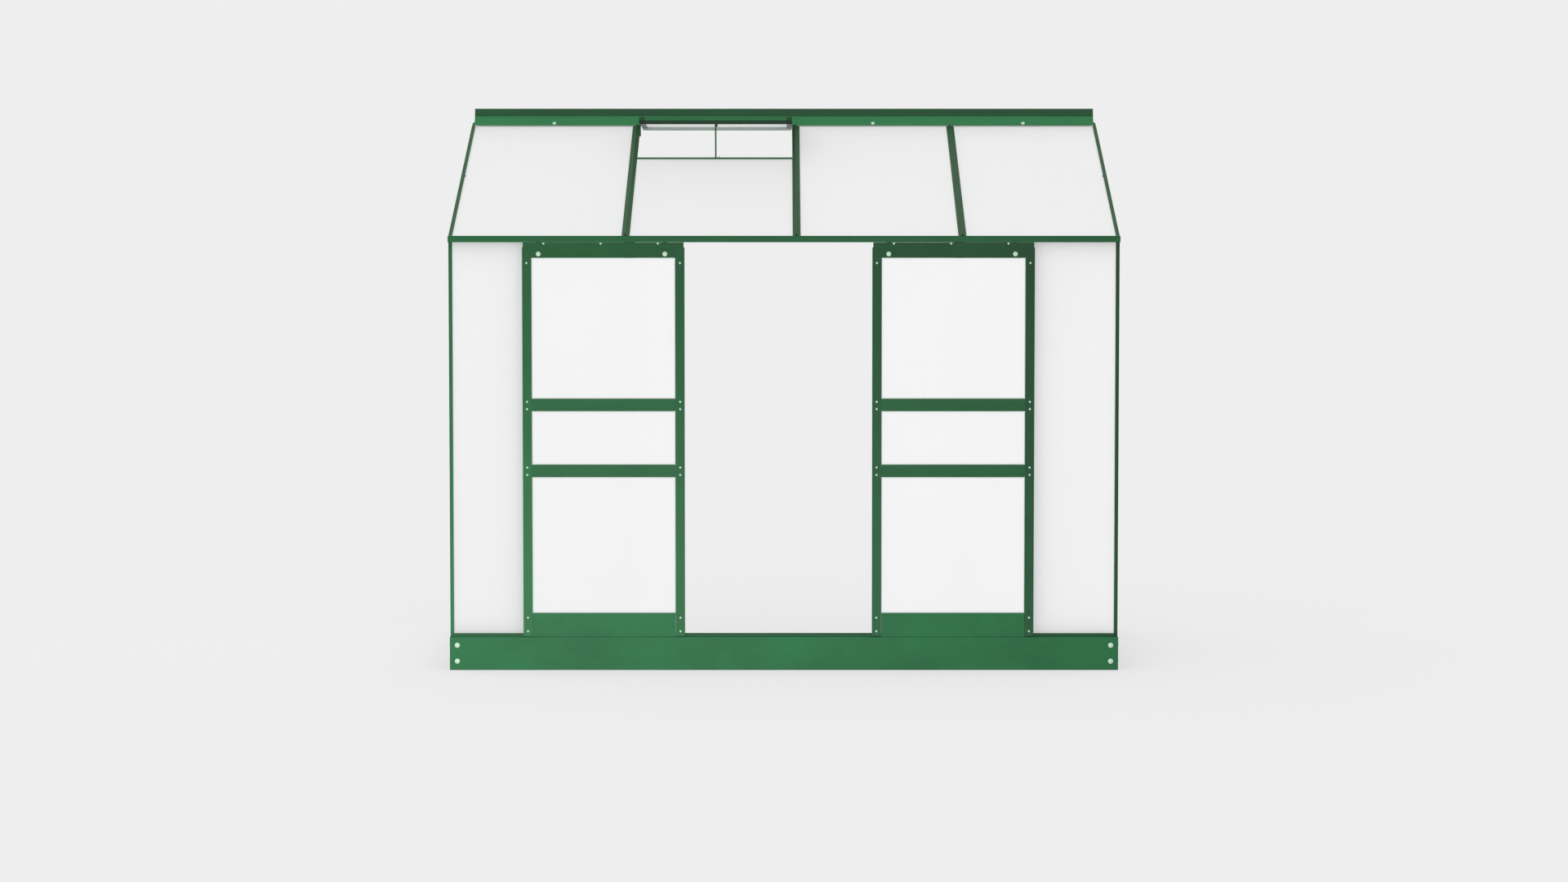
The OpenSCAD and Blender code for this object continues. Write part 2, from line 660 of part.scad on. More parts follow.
// nylon shoes that straddle the guide on the front sill
module door_glides() color(nylon) for (x = [60, door_w - 90]) translate([x, 0, 0]) difference() {
  translate([0, guide_y - 5.5, door_z + 2]) cube([30, 11, 14]);
  translate([-1, guide_y - guide_t / 2 - 0.6, door_z - 1]) cube([32, guide_t + 1.2, sill_z - door_z + 1]);
}

module left() place() translate([left_x, 0, 0]) children();
module right() place() translate([right_x, 0, 0]) children();
module left_door_stiles() left() door_stiles();
module left_door_top_rail() left() door_top_rail();
module left_door_cross_rails() left() door_cross_rails();
module left_door_kick_panel() left() door_kick_panel();
module left_door_panes() left() door_panes();
module left_door_screws() left() door_screws();
module left_door_hangers() left() door_hangers();
module left_door_glides() left() door_glides();
module left_wheel_outer() left() door_wheel(-1);
module left_wheel_inner() left() door_wheel(1);
module right_door_stiles() right() door_stiles();
module right_door_top_rail() right() door_top_rail();
module right_door_cross_rails() right() door_cross_rails();
module right_door_kick_panel() right() door_kick_panel();
module right_door_panes() right() door_panes();
module right_door_screws() right() door_screws();
module right_door_hangers() right() door_hangers();
module right_door_glides() right() door_glides();
module right_wheel_inner() right() door_wheel(-1);
module right_wheel_outer() right() door_wheel(1);

// ---- vent: drawn from its hinge at y = 0 towards the eaves, then opened ----
module vent_space() place() translate([0, hinge_y_abs, hinge_z_abs])
  rotate([-sash_angle, 0, 0]) children();

module vent_frame() color(green) vent_space() {
  translate([0, -vent_len, 0]) {
    along_x(vent_x0, vent_x1) {
      rect(-2, 0, 0, sash_nose);
      rect(-2, 0, 12, 2.4);
    }
    along_x(vent_x0 + sash_w, vent_x1 - sash_w) {
      polygon([[-2, sash_nose - 1], [-2, sash_nose], [7, sash_z + sash_h + 1], [10, sash_z + sash_h + 1],
        [0, sash_nose - 1]]);
      rect(7, sash_groove + pane_t + 1.2, 9, sash_z + sash_h + 1);
      rect(7, sash_groove + pane_t + 1.2, 18, sash_groove + pane_t + 3);
    }
    translate([vent_mid_x + stay_t / 2 + stay_gap, 0, 0]) {
      cube([4, pivot_in + 6, 2.4]);
      translate([0, pivot_in - 8, -pivot_drop - 4]) cube([4, 14, pivot_drop + 5]);
    }
    translate([vent_mid_x - stay_t / 2 - 1.5, pivot_in, -pivot_drop]) rotate([0, 90, 0])
      cylinder(r = pivot_r, h = stay_t + 4);
  }
  for (side = [0, 1]) translate([side * (vent_x0 + vent_x1), 0, 0]) mirror([side, 0, 0])
    translate([vent_x0, -vent_len + eps, sash_z]) difference() {
      cube([sash_w, vent_len - 16 - eps, sash_h]);
      translate([12, -1, sash_groove - sash_z]) cube([sash_w, vent_len, pane_t + 0.6]);
    }
}

module vent_hinge_rail() color(green) vent_space() {
  along_x(vent_x0, vent_x1) {
    circle(r = 2.6);
    rect(-16 + eps, -1.3, -1, 1.3);
    rect(-16 + eps, -1.3, -13.5, sash_groove - 0.3);
  }
}

module vent_pane() color(opal) vent_space()
  translate([vent_x0 + 12.5, -vent_len + 12, sash_groove + 0.3])
    cube([vent_x1 - vent_x0 - 25, vent_len - 25, pane_t]);

module vent_stay() color(green) place() translate([0, hinge_y_abs, hinge_z_abs])
  translate([vent_mid_x, pivot_y, pivot_z]) rotate([stay_lean, 0, 0]) difference() {
    union() {
      translate([-stay_t / 2, -stay_w / 2, -stay_len]) cube([stay_t, stay_w, stay_len]);
      translate([-stay_t / 2, 0, 0]) rotate([0, 90, 0]) cylinder(r = stay_w / 2, h = stay_t);
    }
    for (i = [1:floor((stay_len - 10) / stay_pitch)])
      translate([-stay_t, 0, -i * stay_pitch]) rotate([0, 90, 0]) cylinder(r = stay_hole_r, h = 2 * stay_t);
    translate([-stay_t, 0, 0]) rotate([0, 90, 0]) cylinder(r = pivot_r + wheel_clear, h = 2 * stay_t);
  }

base_front();
base_left();
base_right();
base_brackets();
base_bolts();
sill_front();
sill_left();
sill_right();
corner_post_left();
corner_post_right();
wall_post_left();
wall_post_right();
door_jamb_left();
door_jamb_right();
gable_bar_left();
gable_bar_right();
eaves_rail();
door_track();
track_stops();
wall_plate();
verge_left();
verge_right();
roof_bar_1();
roof_bar_2();
roof_bar_3();
vent_sill();
corner_gussets();
frame_bolts();
inner_rail();
roof_pane_1();
roof_pane_2();
roof_pane_3();
roof_pane_4();
front_pane_left();
front_pane_right();
gable_panes();
left_door_stiles();
left_door_top_rail();
left_door_cross_rails();
left_door_kick_panel();
left_door_panes();
left_door_screws();
left_door_hangers();
left_door_glides();
left_wheel_outer();
left_wheel_inner();
right_door_stiles();
right_door_top_rail();
right_door_cross_rails();
right_door_kick_panel();
right_door_panes();
right_door_screws();
right_door_hangers();
right_door_glides();
right_wheel_inner();
right_wheel_outer();
vent_frame();
vent_hinge_rail();
vent_pane();
vent_stay();
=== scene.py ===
import math

import bpy
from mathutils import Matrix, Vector


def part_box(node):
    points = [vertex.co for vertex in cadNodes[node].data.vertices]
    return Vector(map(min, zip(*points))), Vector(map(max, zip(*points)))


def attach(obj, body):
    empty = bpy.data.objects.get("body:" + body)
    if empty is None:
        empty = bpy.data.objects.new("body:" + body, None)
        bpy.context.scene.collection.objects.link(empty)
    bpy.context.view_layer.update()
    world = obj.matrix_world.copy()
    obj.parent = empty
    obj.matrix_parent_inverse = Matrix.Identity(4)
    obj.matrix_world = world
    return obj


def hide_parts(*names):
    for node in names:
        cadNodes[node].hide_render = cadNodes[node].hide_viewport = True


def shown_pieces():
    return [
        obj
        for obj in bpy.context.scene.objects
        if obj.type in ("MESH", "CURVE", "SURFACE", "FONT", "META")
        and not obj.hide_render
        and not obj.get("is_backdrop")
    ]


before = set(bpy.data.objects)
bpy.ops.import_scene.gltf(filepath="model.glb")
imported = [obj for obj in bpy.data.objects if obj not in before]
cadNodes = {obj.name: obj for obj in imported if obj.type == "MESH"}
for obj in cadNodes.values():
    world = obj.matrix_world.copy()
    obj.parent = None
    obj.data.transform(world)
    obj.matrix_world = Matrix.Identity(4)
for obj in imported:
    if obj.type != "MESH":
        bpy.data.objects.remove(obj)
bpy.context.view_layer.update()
print("frame loaded:", len(cadNodes), "nodes")

viewer = {"place": (0.0, -16.065, 1.9627), "down": 4.0326, "lens": 93.303, "sensor": 36.0}
studio = {
    "sky": 0.97,  # level of the light tent all round
    "left": 0.22,  # how much brighter its left side is
    "top": 0.04,  # how much brighter it is overhead
    "seen": 0.855,  # its level where it is looked at directly
    "floorTone": 0.30,  # the share of the floor's light that shadows can take away
    "floorGlow": 0.556,
    "floorReach": 70.0,
    "strip": {"place": (-1.1, -2.35, 0.10), "aim": (-0.5, 0.0, 0.5),
              "wide": 3.2, "tall": 0.5, "power": 17.0},
}


def makeViewer():
    lens = bpy.data.cameras.new("viewer")
    lens.lens, lens.sensor_width = viewer["lens"], viewer["sensor"]
    lens.clip_end = 300
    stand = bpy.data.objects.new("viewer", lens)
    stand.location = viewer["place"]
    stand.rotation_euler = (math.radians(90 - viewer["down"]), 0, 0)
    bpy.context.scene.collection.objects.link(stand)
    bpy.context.scene.camera = stand
    bpy.context.scene.view_settings.view_transform = "Standard"
    print("camera placed")


class Wire:
    # a socket that takes part in ordinary sums
    def __init__(self, finish, socket):
        self.finish = finish
        self.socket = socket

    def sum(self, operation, first, second):
        return self.finish.node("ShaderNodeMath", {"operation": operation}, {0: first, 1: second})

    def __add__(self, other):
        return self.sum("ADD", self, other)

    def __radd__(self, other):
        return self.sum("ADD", other, self)

    def __sub__(self, other):
        return self.sum("SUBTRACT", self, other)

    def __rsub__(self, other):
        return self.sum("SUBTRACT", other, self)

    def __mul__(self, other):
        return self.sum("MULTIPLY", self, other)

    def __rmul__(self, other):
        return self.sum("MULTIPLY", other, self)


class Finish:
    # a material's node tree, or the world's
    def __init__(self, owner):
        self.owner = owner
        owner.use_nodes = True
        self.tree = owner.node_tree
        self.tree.nodes.clear()

    def node(self, kind, settings=None, values=None, output=0):
        made = self.tree.nodes.new(kind)
        for key, value in (settings or {}).items():
            if key == "stops":
                while len(made.color_ramp.elements) < len(value):
                    made.color_ramp.elements.new(0.5)
                for stop, (place, tone) in zip(made.color_ramp.elements, value):
                    stop.position, stop.color = place, tone
            else:
                setattr(made, key, value)
        for key, value in (values or {}).items():
            if isinstance(value, Wire):
                self.tree.links.new(value.socket, made.inputs[key])
            else:
                made.inputs[key].default_value = value
        return Wire(self, made.outputs[output]) if len(made.outputs) else made

    def blend(self, amount, first, second):
        return self.node("ShaderNodeMix", {"data_type": "RGBA"}, {0: amount, 6: first, 7: second}, 2)

    def noise(self, place, size, detail, rough=0.5):
        return self.node("ShaderNodeTexNoise", None,
                         {"Vector": place, "Scale": size, "Detail": detail, "Roughness": rough})

    def ramp(self, amount, low, high):
        # 0 below low, 1 above high, smooth between
        return self.node("ShaderNodeMapRange", {"interpolation_type": "SMOOTHSTEP"},
                         {0: amount, 1: low, 2: high, 3: 0.0, 4: 1.0})

    def sum(self, socket, operation, limit):
        return Wire(self, socket).sum(operation, Wire(self, socket), limit)

    def close(self, **values):
        shader = self.node("ShaderNodeBsdfPrincipled", None,
                           {key.replace("_", " "): value for key, value in values.items()})
        self.node("ShaderNodeOutputMaterial", None, {"Surface": shader})
        return self.owner


def rgb(red, green, blue):
    return (red, green, blue, 1.0)


# low and high are the tone's shares below and above a given height: painted light and painted shade, a
# lighter and a darker band where the light falls differently the darkening towards +X and the darkening
# upwards are painted shade, for light that comes from the left and from below
coating = {
    "sheet": {"tone": (0.0100, 0.136, 0.042), "cloud": 0.34, "cloudSize": 5.0, "drawn": 0.10,
              "stretch": (0.5, 6.0, 6.0), "rough": 0.5, "shadeTowardsX": 0.03,
              "shadeStep": (0.001, 0.005), "low": 0.60, "high": 1.0},
    "barX": {"tone": (0.008, 0.100, 0.030), "cloud": 0.20, "cloudSize": 6.0, "drawn": 0.26,
             "stretch": (0.6, 60.0, 60.0), "rough": 0.45, "shadeTowardsX": 0.10},
    "barZ": {"tone": (0.008, 0.088, 0.027), "cloud": 0.22, "cloudSize": 6.0, "drawn": 0.22,
             "stretch": (60.0, 60.0, 0.6), "rough": 0.45, "shadeTowardsX": 0.32, "shadeUpwards": 0.34},
    "barRoof": {"tone": (0.016, 0.082, 0.026), "cloud": 0.20, "cloudSize": 6.0, "drawn": 0.24,
                "stretch": (60.0, 0.7, 12.0), "rough": 0.45, "shadeTowardsX": 0.04, "shine": 0.10},
    "eaves": {"tone": (0.009, 0.078, 0.024), "cloud": 0.20, "cloudSize": 6.0, "drawn": 0.24,
              "stretch": (0.6, 60.0, 60.0), "rough": 0.45, "shadeTowardsX": 0.04},
    # painted shade: the door heads' tone is set darker than the other greens, because less light falls on
    # them
    "head": {"tone": (0.005, 0.072, 0.018), "cloud": 0.24, "cloudSize": 6.0, "drawn": 0.30,
             "stretch": (0.6, 60.0, 60.0), "rough": 0.45, "shadeTowardsX": 0.26},
    "plate": {"tone": (0.006, 0.085, 0.024), "cloud": 0.16, "cloudSize": 6.0, "drawn": 0.26,
              "stretch": (0.5, 60.0, 60.0), "rough": 0.45, "shadeTowardsX": 0.05,
              "shadeStep": (2.1165, 2.1200), "low": 2.15, "high": 0.85},
    "sash": {"tone": (0.006, 0.085, 0.024), "cloud": 0.12, "cloudSize": 8.0, "drawn": 0.20,
             "stretch": (0.5, 60.0, 60.0), "rough": 0.45, "shadeTowardsX": 0.0,
             "shadeStep": (2.0970, 2.1000), "low": 0.40, "high": 1.50,
             "corners": {"left": -0.557, "right": 0.011, "back": 0.206, "dark": 0.55}},
    "deep": {"tone": (0.010, 0.080, 0.028), "cloud": 0.22, "cloudSize": 9.0, "drawn": 0.10,
             "stretch": (8.0, 8.0, 8.0), "rough": 0.5, "shadeTowardsX": 0.0},
}


def powderCoat(name):
    # green powder coat: soft clouds, lines drawn along the bar, orange peel and a little dust, with the
    # painted light and painted shade set in its coating entry
    look = coating[name]
    made = Finish(bpy.data.materials.new("green_" + name))
    place = made.node("ShaderNodeTexCoord", output="Object")
    along = made.node("ShaderNodeMapping", None, {"Vector": place, "Scale": look["stretch"]})
    clouds = made.noise(place, look["cloudSize"], 4.0, 0.6)
    drawn = made.noise(along, 3.0, 3.0, 0.6)
    grain = made.noise(place, 260.0, 2.0)
    peel = made.noise(place, 620.0, 1.0)
    dust = made.ramp(made.noise(place, 38.0, 6.0, 0.7), 0.62, 0.80)
    parts = made.node("ShaderNodeSeparateXYZ", None, {0: place}).socket.node.outputs
    shade = 1 + (clouds - 0.5) * (2 * look["cloud"]) + (drawn - 0.5) * (2 * look["drawn"])
    shade = shade + (grain - 0.5) * 0.16
    # painted shade: darker towards +X, for light that comes from the left
    shade = shade * (1 - Wire(made, parts[0]) * look["shadeTowardsX"])
    # painted shade: darker upwards, for light that comes from below
    if "shadeUpwards" in look:
        shade = shade * (1 + (1 - Wire(made, parts[2])) * look["shadeUpwards"])
    # painted light and painted shade: a lighter or darker band below the given height
    if "shadeStep" in look:
        above = made.ramp(Wire(made, parts[2]), *look["shadeStep"])
        shade = shade * (look["low"] + above * (look["high"] - look["low"]))
    # painted shade: the vent sash's front corners are darkened
    if "corners" in look:
        ends = look["corners"]
        onLeft = made.sum(parts[0], "LESS_THAN", ends["left"])
        onRight = made.sum(parts[0], "GREATER_THAN", ends["right"])
        inFront = made.sum(parts[1], "LESS_THAN", ends["back"])
        shade = shade * (1 - (onLeft + onRight) * inFront * ends["dark"])
    red, green, blue = look["tone"]
    tone = made.node("ShaderNodeCombineColor", None, {0: shade * red, 1: shade * green, 2: shade * blue})
    tone = made.blend(dust * 0.06, tone, rgb(0.16, 0.26, 0.16))
    rough = look["rough"] + (clouds - 0.5) * 0.12 + dust * 0.12 + (grain - 0.5) * 0.05
    bump = made.node("ShaderNodeBump", None,
                     {"Strength": 0.16, "Distance": 0.0004, "Height": peel * 0.7 + drawn * 0.3})
    return made.close(Base_Color=tone, Roughness=rough, Normal=bump, Metallic=0.0,
                      Specular_IOR_Level=look.get("shine", 0.34))


# the glow is painted light: the panes give off light of their own, which lifts their shade
frosting = {"clear": (0.850, 0.852, 0.850), "cloudy": (0.830, 0.834, 0.831), "rough": 0.42, "through": 0.12,
            "paintedGlow": 0.205}


# each pane's name, the share of the clear tone, and the share of the glow, which is painted light; the
# front panes get the most, to lift the shade the doors cast on them
panes = {
    "wallPane": ("frosted_wall_pane", 1.0, 1.0),
    "frontPane": ("frosted_front_pane", 0.86, 1.75),
    "roofPane": ("frosted_roof_pane", 0.895, 1.0),
}


def frostedPane(name, dim, paintedGlow):
    # rolled obscure glass: fine dimples, a faint haze, and some of the daylight behind it as glow, which is
    # painted light: an emission that lifts the pane's shade
    made = Finish(bpy.data.materials.new(name))
    place = made.node("ShaderNodeTexCoord", output="Object")
    haze = made.noise(place, 2.2, 3.0, 0.6)
    dimple = made.node("ShaderNodeTexVoronoi", {"feature": "SMOOTH_F1"}, {"Vector": place, "Scale": 240.0})
    fine = made.noise(place, 420.0, 2.0)
    clear = tuple(part * dim for part in frosting["clear"])
    cloudy = tuple(part * dim for part in frosting["cloudy"])
    tone = made.blend(haze, rgb(*clear), rgb(*cloudy))
    rough = frosting["rough"] + (haze - 0.5) * 0.12 + (fine - 0.5) * 0.08
    bump = made.node("ShaderNodeBump", None,
                     {"Strength": 0.10, "Distance": 0.0003, "Height": dimple + fine * 0.4})
    face = made.node("ShaderNodeBsdfPrincipled", None, {
        "Base Color": tone, "Roughness": rough, "Normal": bump, "IOR": 1.46, "Specular IOR Level": 0.35,
        "Emission Color": tone, "Emission Strength": frosting["paintedGlow"] * paintedGlow})
    passing = made.node("ShaderNodeBsdfTranslucent", None, {"Color": tone})
    both = made.node("ShaderNodeMixShader", None, {0: frosting["through"], 1: face, 2: passing})
    made.node("ShaderNodeOutputMaterial", None, {"Surface": both})
    return made.owner


def zincPlate(name, tone, worn):
    # pale plated steel with faint bloom and darker specks
    made = Finish(bpy.data.materials.new(name))
    place = made.node("ShaderNodeTexCoord", output="Object")
    bloom = made.noise(place, 160.0, 4.0, 0.6)
    specks = made.ramp(made.noise(place, 900.0, 2.0), 0.62, 0.74)
    base = made.blend(bloom, rgb(*tone), rgb(*(part * 0.86 for part in tone)))
    base = made.blend(specks * 0.35, base, rgb(*worn))
    bump = made.node("ShaderNodeBump", None, {"Strength": 0.12, "Distance": 0.0002, "Height": bloom})
    return made.close(Base_Color=base, Roughness=0.34 + bloom * 0.2, Metallic=0.25, Normal=bump)


def mouldedNylon(name, tone):
    made = Finish(bpy.data.materials.new(name))
    place = made.node("ShaderNodeTexCoord", output="Object")
    grain = made.noise(place, 700.0, 3.0)
    flow = made.noise(place, 40.0, 3.0)
    base = made.blend(flow, rgb(*tone), rgb(*(part * 1.5 for part in tone)))
    bump = made.node("ShaderNodeBump", None, {"Strength": 0.2, "Distance": 0.0002, "Height": grain})
    return made.close(Base_Color=base, Roughness=0.5 + grain * 0.2, Normal=bump)


def softSeal(name, tone):
    # extruded glazing strip with a fine grain and a chalky bloom
    made = Finish(bpy.data.materials.new(name))
    place = made.node("ShaderNodeTexCoord", output="Object")
    bloom = made.noise(place, 25.0, 4.0, 0.6)
    grain = made.noise(place, 900.0, 2.0)
    base = made.blend(bloom, rgb(*tone), rgb(*(min(1.0, part * 1.25) for part in tone)))
    bump = made.node("ShaderNodeBump", None, {"Strength": 0.15, "Distance": 0.0002, "Height": grain})
    return made.close(Base_Color=base, Roughness=0.62 + bloom * 0.16, Normal=bump)


def makeFinishes():
    made = {name: powderCoat(name) for name in coating}
    for name, (title, dim, paintedGlow) in panes.items():
        made[name] = frostedPane(title, dim, paintedGlow)
    made["zinc"] = zincPlate("pale_zinc", (0.58, 0.76, 0.65), (0.40, 0.54, 0.45))
    made["bracketZinc"] = zincPlate("bracket_zinc", (0.52, 0.58, 0.54), (0.30, 0.34, 0.31))
    made["nylon"] = mouldedNylon("black_nylon", (0.020, 0.021, 0.022))
    made["darkNut"] = mouldedNylon("dark_nut", (0.030, 0.040, 0.034))
    made["seal"] = softSeal("glazing_strip", (0.46, 0.53, 0.48))
    print("finishes made:", len(made))
    return made


def finishFor(node):
    if node.startswith(("base_front", "base_left", "base_right")) or node.endswith("kick_panel"):
        return "sheet"
    if node in ("base_brackets", "corner_gussets"):
        return "deep"
    if node.startswith("roof_pane") or node == "vent_pane":
        return "roofPane"
    if node.startswith("front_pane"):
        return "frontPane"
    if "pane" in node and "panel" not in node:
        return "wallPane"
    if node.endswith("hangers"):
        return "bracketZinc"
    if node.endswith(("bolts", "screws")):
        return "zinc"
    if "wheel" in node or node.endswith("glides") or node == "track_stops":
        return "nylon"
    if node.endswith("top_rail"):
        return "head"
    if node == "wall_plate":
        return "plate"
    if node == "vent_frame":
        return "sash"
    if node == "vent_hinge_rail":
        return "bracketZinc"
    if node == "eaves_rail":
        return "eaves"
    if node.startswith(("verge", "roof_bar")):
        return "barRoof"
    if "post" in node or "jamb" in node or "gable_bar" in node or node.endswith("stiles"):
        return "barZ"
    return "barX"


glassPieces = [name for name in cadNodes if finishFor(name).endswith("Pane")]


def dressNodes(finishes):
    for name, node in cadNodes.items():
        for place in node.material_slots:
            place.material = finishes[finishFor(name)]
        if not node.material_slots:
            node.data.materials.append(finishes[finishFor(name)])
    print("nodes dressed")


class Recipe:
    # a geometry node tree with named inputs
    def __init__(self, name):
        self.tree = bpy.data.node_groups.new(name, "GeometryNodeTree")
        self.tree.interface.new_socket("Geometry", in_out="INPUT", socket_type="NodeSocketGeometry")
        self.tree.interface.new_socket("Geometry", in_out="OUTPUT", socket_type="NodeSocketGeometry")
        self.start = self.tree.nodes.new("NodeGroupInput")
        self.end = self.tree.nodes.new("NodeGroupOutput")

    def input(self, name, kind="NodeSocketFloat"):
        self.tree.interface.new_socket(name, in_out="INPUT", socket_type=kind)
        return self.start.outputs[name]

    def node(self, kind, settings=None, values=None, output=0):
        made = self.tree.nodes.new(kind)
        for key, value in (settings or {}).items():
            setattr(made, key, value)
        for key, value in (values or {}).items():
            for one in value if isinstance(value, list) else [value]:
                if isinstance(one, bpy.types.NodeSocket):
                    self.tree.links.new(one, made.inputs[key])
                else:
                    made.inputs[key].default_value = one
        return made.outputs[output]

    def sum(self, operation, first, second=0.0):
        return self.node("ShaderNodeMath", {"operation": operation}, {0: first, 1: second})

    def finish(self, geometry, material):
        real = self.node("GeometryNodeRealizeInstances", None, {"Geometry": geometry})
        done = self.node("GeometryNodeSetMaterial", None, {"Geometry": real, "Material": material})
        self.tree.links.new(done, self.end.inputs[0])


def grow(piece, recipe, sizes):
    # runs the recipe on the piece, then keeps the result as a plain mesh
    step = piece.modifiers.new("grow", "NODES")
    step.node_group = recipe.tree
    for item in recipe.tree.interface.items_tree:
        if item.item_type == "SOCKET" and item.in_out == "INPUT" and item.name in sizes:
            step[item.identifier] = sizes[item.name]
    ready = piece.evaluated_get(bpy.context.evaluated_depsgraph_get())
    plain = bpy.data.meshes.new_from_object(ready)
    piece.modifiers.clear()
    piece.data = plain
    return piece


def seedPoints(name, points):
    # points is a list of (place, facing)
    mesh = bpy.data.meshes.new(name)
    mesh.from_pydata([place for place, facing in points], [], [])
    facings = mesh.attributes.new("facing", "FLOAT_VECTOR", "POINT")
    for slot, (place, facing) in zip(facings.data, points):
        slot.vector = facing
    piece = bpy.data.objects.new(name, mesh)
    bpy.context.scene.collection.objects.link(piece)
    return piece


# the shape that all fastener heads share
dome = {"sides": 28, "power": 2.6, "fall": 0.72, "recessShare": 1.15}


def fastenerRecipe(name, material, recess=False, washer=False, nut=False):
    # a domed head on a shank, standing on z = 0 and facing +Z
    made = Recipe(name)
    radius, height = made.input("Head Radius"), made.input("Head Height")
    shankRadius, shankLength = made.input("Shank Radius"), made.input("Shank Length")
    rounds = dome["sides"]
    block = made.node("GeometryNodeMeshCylinder", None, {
        "Vertices": rounds, "Fill Segments": 5, "Radius": radius, "Depth": height})
    place = made.node("GeometryNodeInputPosition")
    parts = made.node("ShaderNodeSeparateXYZ", None, {0: place})
    split = parts.node
    reach = made.sum("SQRT", made.sum("ADD", made.sum("POWER", split.outputs[0], 2.0),
                                      made.sum("POWER", split.outputs[1], 2.0)))
    share = made.sum("MINIMUM", made.sum("DIVIDE", reach, radius), 1.0)
    fall = made.sum("MULTIPLY", made.sum("POWER", share, dome["power"]),
                    made.sum("MULTIPLY", height, dome["fall"]))
    isTop = made.sum("GREATER_THAN", split.outputs[2], 0.0)
    drop = made.sum("MULTIPLY", made.sum("MULTIPLY", fall, isTop), -1.0)
    lift = made.sum("ADD", drop, made.sum("MULTIPLY", height, 0.5))
    offset = made.node("ShaderNodeCombineXYZ", None, {2: lift})
    head = made.node("GeometryNodeSetPosition", None, {"Geometry": block, "Offset": offset})
    if recess:
        wide, deep = made.input("Recess Width"), made.input("Recess Depth")
        long = made.sum("MULTIPLY", radius, dome["recessShare"])
        tall = made.sum("MULTIPLY", deep, 2.0)
        barA = made.node("GeometryNodeMeshCube", None, {
            "Size": made.node("ShaderNodeCombineXYZ", None, {0: long, 1: wide, 2: tall})})
        barB = made.node("GeometryNodeMeshCube", None, {
            "Size": made.node("ShaderNodeCombineXYZ", None, {0: wide, 1: long, 2: tall})})
        raised = made.node("ShaderNodeCombineXYZ", None, {2: height})
        cutters = [made.node("GeometryNodeTransform", None, {"Geometry": bar, "Translation": raised})
                   for bar in (barA, barB)]
        head = made.node("GeometryNodeMeshBoolean", {"operation": "DIFFERENCE", "solver": "EXACT"},
                         {"Mesh 1": head, "Mesh 2": cutters})
    pieces = [head]
    sunk = made.node("ShaderNodeCombineXYZ", None, {
        2: made.sum("MULTIPLY", made.sum("SUBTRACT", shankLength, 0.0002), -0.5)})
    shank = made.node("GeometryNodeMeshCylinder", None, {
        "Vertices": 16, "Radius": shankRadius, "Depth": shankLength})
    pieces.append(made.node("GeometryNodeTransform", None, {"Geometry": shank, "Translation": sunk}))
    if washer:
        washerRadius, washerHeight = made.input("Washer Radius"), made.input("Washer Height")
        ring = made.node("GeometryNodeMeshCylinder", None, {
            "Vertices": rounds, "Radius": washerRadius, "Depth": washerHeight})
        raised = made.node("ShaderNodeCombineXYZ", None, {2: made.sum("MULTIPLY", washerHeight, 0.5)})
        pieces.append(made.node("GeometryNodeTransform", None, {"Geometry": ring, "Translation": raised}))
    if nut:
        nutRadius, nutHeight = made.input("Nut Radius"), made.input("Nut Height")
        nutDepth = made.input("Nut Depth")
        hexagon = made.node("GeometryNodeMeshCylinder", None, {
            "Vertices": 6, "Radius": nutRadius, "Depth": nutHeight})
        bore = made.node("GeometryNodeMeshCylinder", None, {
            "Vertices": 16, "Radius": shankRadius, "Depth": made.sum("MULTIPLY", nutHeight, 2.0)})
        hollow = made.node("GeometryNodeMeshBoolean", {"operation": "DIFFERENCE", "solver": "EXACT"},
                           {"Mesh 1": hexagon, "Mesh 2": bore})
        behind = made.node("ShaderNodeCombineXYZ", None, {
            2: made.sum("MULTIPLY", made.sum("ADD", nutDepth, made.sum("MULTIPLY", nutHeight, 0.5)), -1.0)})
        pieces.append(made.node("GeometryNodeTransform", None, {"Geometry": hollow, "Translation": behind}))
    one = made.node("GeometryNodeJoinGeometry", None, {"Geometry": pieces})
    facing = made.node("GeometryNodeInputNamedAttribute", {"data_type": "FLOAT_VECTOR"}, {"Name": "facing"})
    turn = made.node("FunctionNodeAlignRotationToVector", {"axis": "Z"}, {"Vector": facing})
    points = made.node("GeometryNodeMeshToPoints", None, {"Mesh": made.start.outputs[0]})
    placed = made.node("GeometryNodeInstanceOnPoints", None, {
        "Points": points, "Instance": one, "Rotation": turn})
    made.finish(placed, material)
    return made


doorScrew = {"Head Radius": 0.0040, "Head Height": 0.0022, "Shank Radius": 0.0019, "Shank Length": 0.004,
             "Recess Width": 0.0010, "Recess Depth": 0.0009}
hangerBolt = {"Head Radius": 0.0090, "Head Height": 0.0040, "Shank Radius": 0.0038, "Shank Length": 0.019,
              "Nut Radius": 0.0066, "Nut Height": 0.0038, "Nut Depth": 0.0137}
baseBolt = {"Head Radius": 0.0097, "Head Height": 0.0040, "Shank Radius": 0.0038, "Shank Length": 0.0165,
            "Nut Radius": 0.0075, "Nut Height": 0.0060, "Nut Depth": 0.0062}
frameBolt = {"Head Radius": 0.0062, "Head Height": 0.0034, "Shank Radius": 0.0024, "Shank Length": 0.0058,
             "Washer Radius": 0.0075, "Washer Height": 0.0009}
doorLayout = {
    "edge": 0.017, "stile": 0.035, "heights": (1.5525, 1.0253, 0.9973, 0.7748, 0.7467, 0.2003, 0.1483),
    "headHeight": 1.6262, "headStep": 0.217, "headShift": -0.0095,
    "boltHeight": 1.5866, "boltStep": 0.240, "boltShift": -0.006,
}


